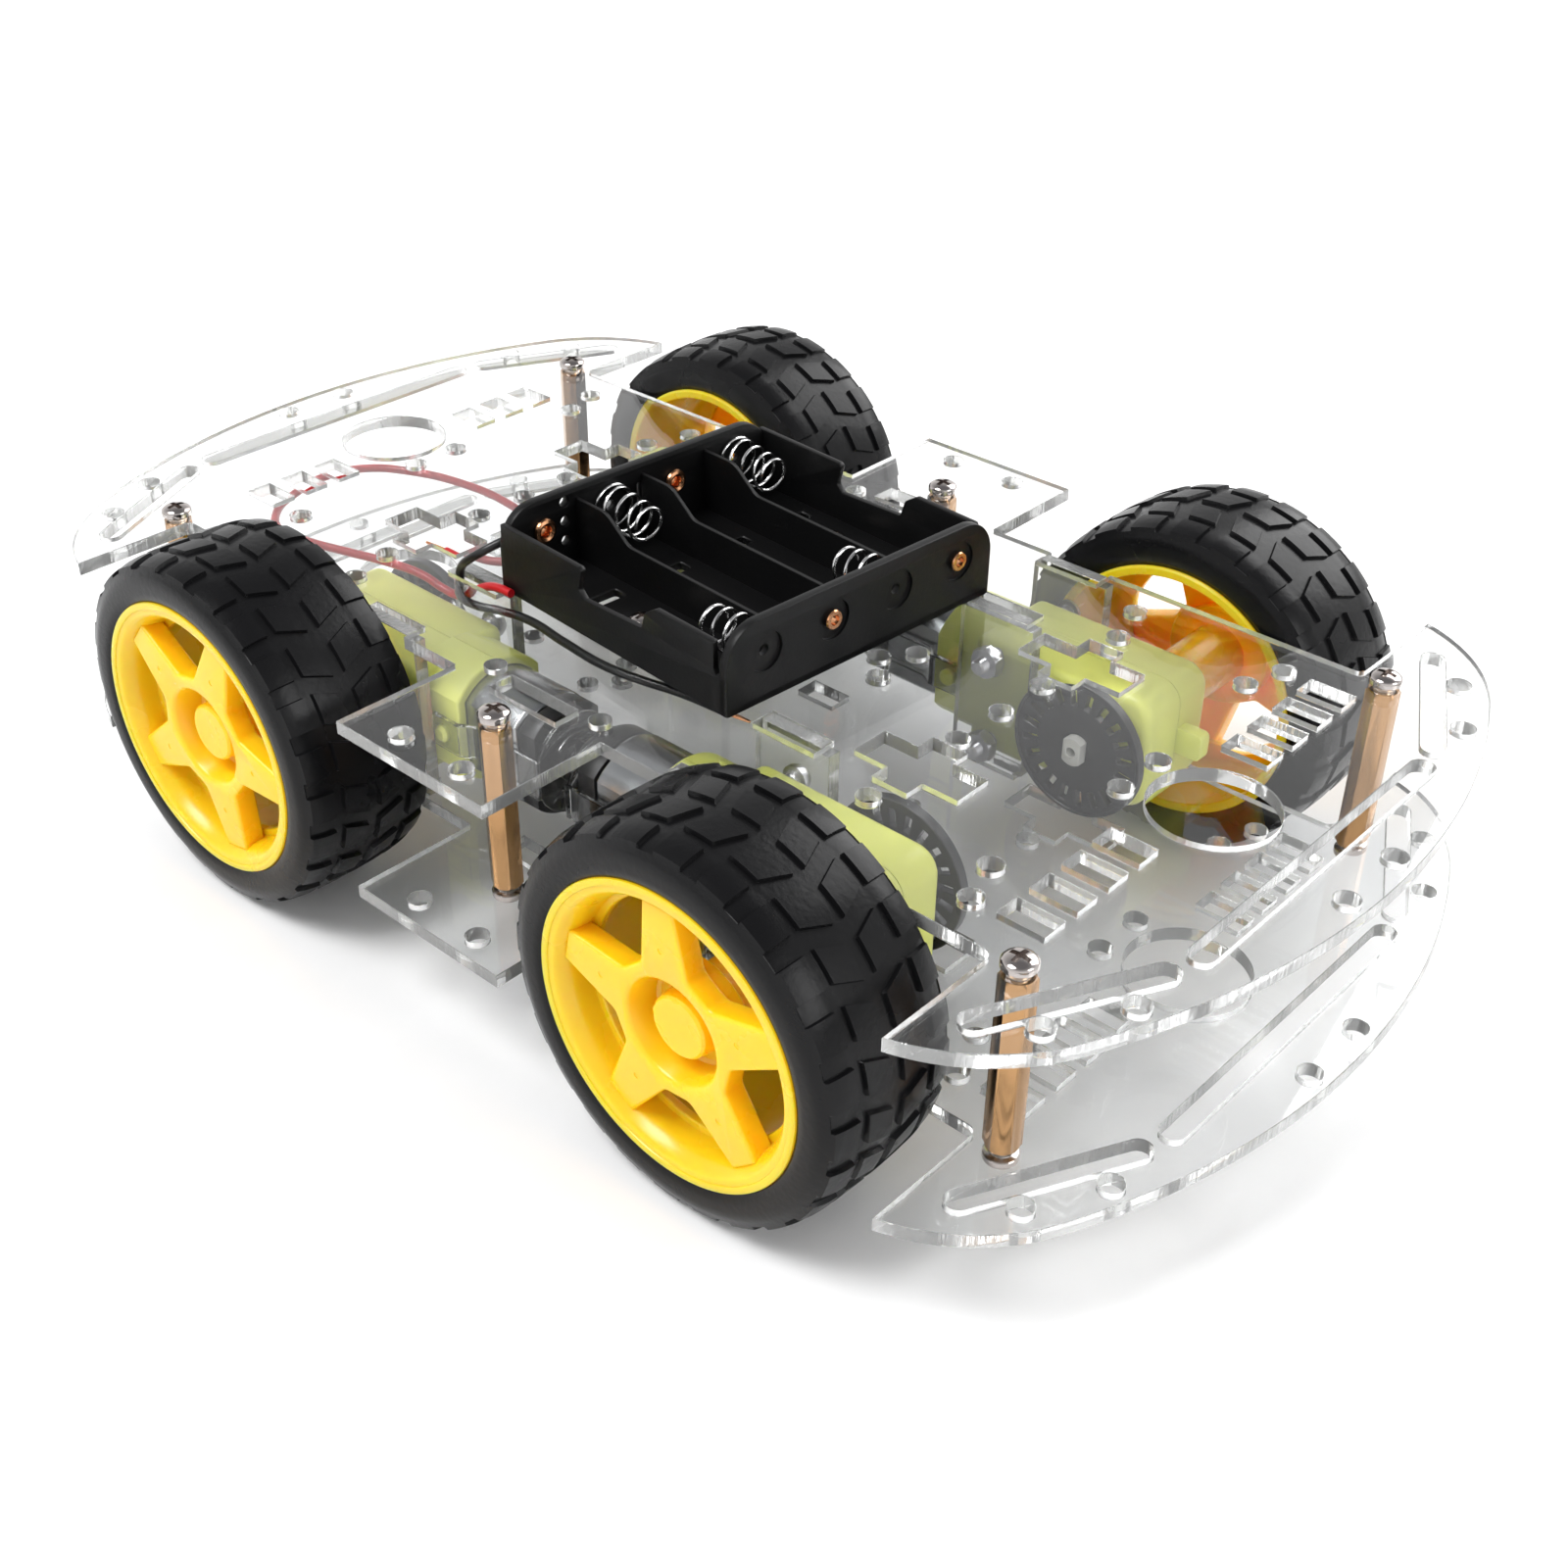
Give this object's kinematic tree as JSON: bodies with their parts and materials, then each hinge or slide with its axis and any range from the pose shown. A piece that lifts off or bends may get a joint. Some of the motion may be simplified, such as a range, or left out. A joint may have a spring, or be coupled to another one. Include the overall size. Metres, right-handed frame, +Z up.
{
  "type": "four wheel robot chassis",
  "caption": "Two-deck clear acrylic robot chassis with geared motors, star wheels, encoder discs, brass standoffs and an open AA battery holder.",
  "frame": {"origin": "on the ground under the centre of the decks", "axes": "+X along the long side towards the front end, which has four rows of slots each side, +Y to the left, +Z up"},
  "size_m": [0.254, 0.1554, 0.0686],
  "materials": {
    "clear_acrylic": "polished clear sheet with bright cut edges",
    "brass": "satin turned hexagon bar with bright nickel screws",
    "black_plastic": "fine moulded texture, slight sheen",
    "gear_case_yellow": "satin fluorescent yellow-green moulding",
    "motor_steel": "bright plated can",
    "white_nylon": "satin nylon",
    "disc_plastic": "satin dark grey moulding",
    "rim_yellow": "glossy warm yellow moulding",
    "tyre_rubber": "satin rubber with block tread",
    "red_sleeve": "smooth cable sleeve",
    "black_sleeve": "smooth cable sleeve"
  },
  "bodies": {
    "chassis": {"battery_holder": "black_plastic", "black_lead": "black_sleeve", "gearbox_case_front_left": "gear_case_yellow", "gearbox_case_front_right": "gear_case_yellow", "gearbox_case_rear_left": "gear_case_yellow", "gearbox_case_rear_right": "gear_case_yellow", "gearbox_cover_front_left": "gear_case_yellow", "gearbox_cover_front_right": "gear_case_yellow", "gearbox_cover_rear_left": "gear_case_yellow", "gearbox_cover_rear_right": "gear_case_yellow", "inner_bracket_front_left": "clear_acrylic", "inner_bracket_front_right": "clear_acrylic", "inner_bracket_rear_left": "clear_acrylic", "inner_bracket_rear_right": "clear_acrylic", "lower_deck": "clear_acrylic", "motor_can_front_left": "motor_steel", "motor_can_front_right": "motor_steel", "motor_can_rear_left": "motor_steel", "motor_can_rear_right": "motor_steel", "motor_end_cap_front_left": "black_plastic", "motor_end_cap_front_right": "black_plastic", "motor_end_cap_rear_left": "black_plastic", "motor_end_cap_rear_right": "black_plastic", "outer_bracket_front_left": "clear_acrylic", "outer_bracket_front_right": "clear_acrylic", "outer_bracket_rear_left": "clear_acrylic", "outer_bracket_rear_right": "clear_acrylic", "red_lead": "red_sleeve", "standoff_front_left": "brass", "standoff_front_right": "brass", "standoff_middle_left": "brass", "standoff_middle_right": "brass", "standoff_rear_left": "brass", "standoff_rear_right": "brass", "upper_deck": "clear_acrylic"},
    "wheel_front_left": {"wheel_rim_front_left": "rim_yellow", "tyre_front_left": "tyre_rubber", "output_shaft_front_left": "white_nylon", "encoder_disc_front_left": "disc_plastic"},
    "crown_front_left": {"crown_gear_front_left": "white_nylon"},
    "rotor_front_left": {"motor_rotor_front_left": "motor_steel"},
    "wheel_front_right": {"wheel_rim_front_right": "rim_yellow", "tyre_front_right": "tyre_rubber", "output_shaft_front_right": "white_nylon", "encoder_disc_front_right": "disc_plastic"},
    "crown_front_right": {"crown_gear_front_right": "white_nylon"},
    "rotor_front_right": {"motor_rotor_front_right": "motor_steel"},
    "wheel_rear_left": {"wheel_rim_rear_left": "rim_yellow", "tyre_rear_left": "tyre_rubber", "output_shaft_rear_left": "white_nylon", "encoder_disc_rear_left": "disc_plastic"},
    "crown_rear_left": {"crown_gear_rear_left": "white_nylon"},
    "rotor_rear_left": {"motor_rotor_rear_left": "motor_steel"},
    "wheel_rear_right": {"wheel_rim_rear_right": "rim_yellow", "tyre_rear_right": "tyre_rubber", "output_shaft_rear_right": "white_nylon", "encoder_disc_rear_right": "disc_plastic"},
    "crown_rear_right": {"crown_gear_rear_right": "white_nylon"},
    "rotor_rear_right": {"motor_rotor_rear_right": "motor_steel"}
  },
  "joints": [
    {"name": "wheel_spin_front_left", "type": "hinge", "parent": "chassis", "child": "wheel_front_left", "pos_m": [0.0575, 0.0645, 0.033], "axis": [0, 1, 0], "continuous": true},
    {"name": "crown_spin_front_left", "type": "hinge", "parent": "chassis", "child": "crown_front_left", "pos_m": [0.046, 0.0377, 0.033], "axis": [0, 1, 0], "continuous": true},
    {"name": "rotor_spin_front_left", "type": "hinge", "parent": "chassis", "child": "rotor_front_left", "pos_m": [0.02, 0.0377, 0.033], "axis": [1, 0, 0], "continuous": true},
    {"name": "wheel_spin_front_right", "type": "hinge", "parent": "chassis", "child": "wheel_front_right", "pos_m": [0.0575, -0.0645, 0.033], "axis": [0, 1, 0], "continuous": true},
    {"name": "crown_spin_front_right", "type": "hinge", "parent": "chassis", "child": "crown_front_right", "pos_m": [0.046, -0.0377, 0.033], "axis": [0, 1, 0], "continuous": true},
    {"name": "rotor_spin_front_right", "type": "hinge", "parent": "chassis", "child": "rotor_front_right", "pos_m": [0.02, -0.0377, 0.033], "axis": [1, 0, 0], "continuous": true},
    {"name": "wheel_spin_rear_left", "type": "hinge", "parent": "chassis", "child": "wheel_rear_left", "pos_m": [-0.0575, 0.0645, 0.033], "axis": [0, 1, 0], "continuous": true},
    {"name": "crown_spin_rear_left", "type": "hinge", "parent": "chassis", "child": "crown_rear_left", "pos_m": [-0.046, 0.0377, 0.033], "axis": [0, 1, 0], "continuous": true},
    {"name": "rotor_spin_rear_left", "type": "hinge", "parent": "chassis", "child": "rotor_rear_left", "pos_m": [-0.02, 0.0377, 0.033], "axis": [1, 0, 0], "continuous": true},
    {"name": "wheel_spin_rear_right", "type": "hinge", "parent": "chassis", "child": "wheel_rear_right", "pos_m": [-0.0575, -0.0645, 0.033], "axis": [0, 1, 0], "continuous": true},
    {"name": "crown_spin_rear_right", "type": "hinge", "parent": "chassis", "child": "crown_rear_right", "pos_m": [-0.046, -0.0377, 0.033], "axis": [0, 1, 0], "continuous": true},
    {"name": "rotor_spin_rear_right", "type": "hinge", "parent": "chassis", "child": "rotor_rear_right", "pos_m": [-0.02, -0.0377, 0.033], "axis": [1, 0, 0], "continuous": true}
  ],
  "couplings": [
    {"joint": "crown_spin_front_left", "follows": "wheel_spin_front_left", "ratio": -3.5},
    {"joint": "rotor_spin_front_left", "follows": "wheel_spin_front_left", "ratio": 12.25},
    {"joint": "crown_spin_front_right", "follows": "wheel_spin_front_right", "ratio": -3.5},
    {"joint": "rotor_spin_front_right", "follows": "wheel_spin_front_right", "ratio": -12.25},
    {"joint": "crown_spin_rear_left", "follows": "wheel_spin_rear_left", "ratio": -3.5},
    {"joint": "rotor_spin_rear_left", "follows": "wheel_spin_rear_left", "ratio": -12.25},
    {"joint": "crown_spin_rear_right", "follows": "wheel_spin_rear_right", "ratio": -3.5},
    {"joint": "rotor_spin_rear_right", "follows": "wheel_spin_rear_right", "ratio": 12.25}
  ]
}
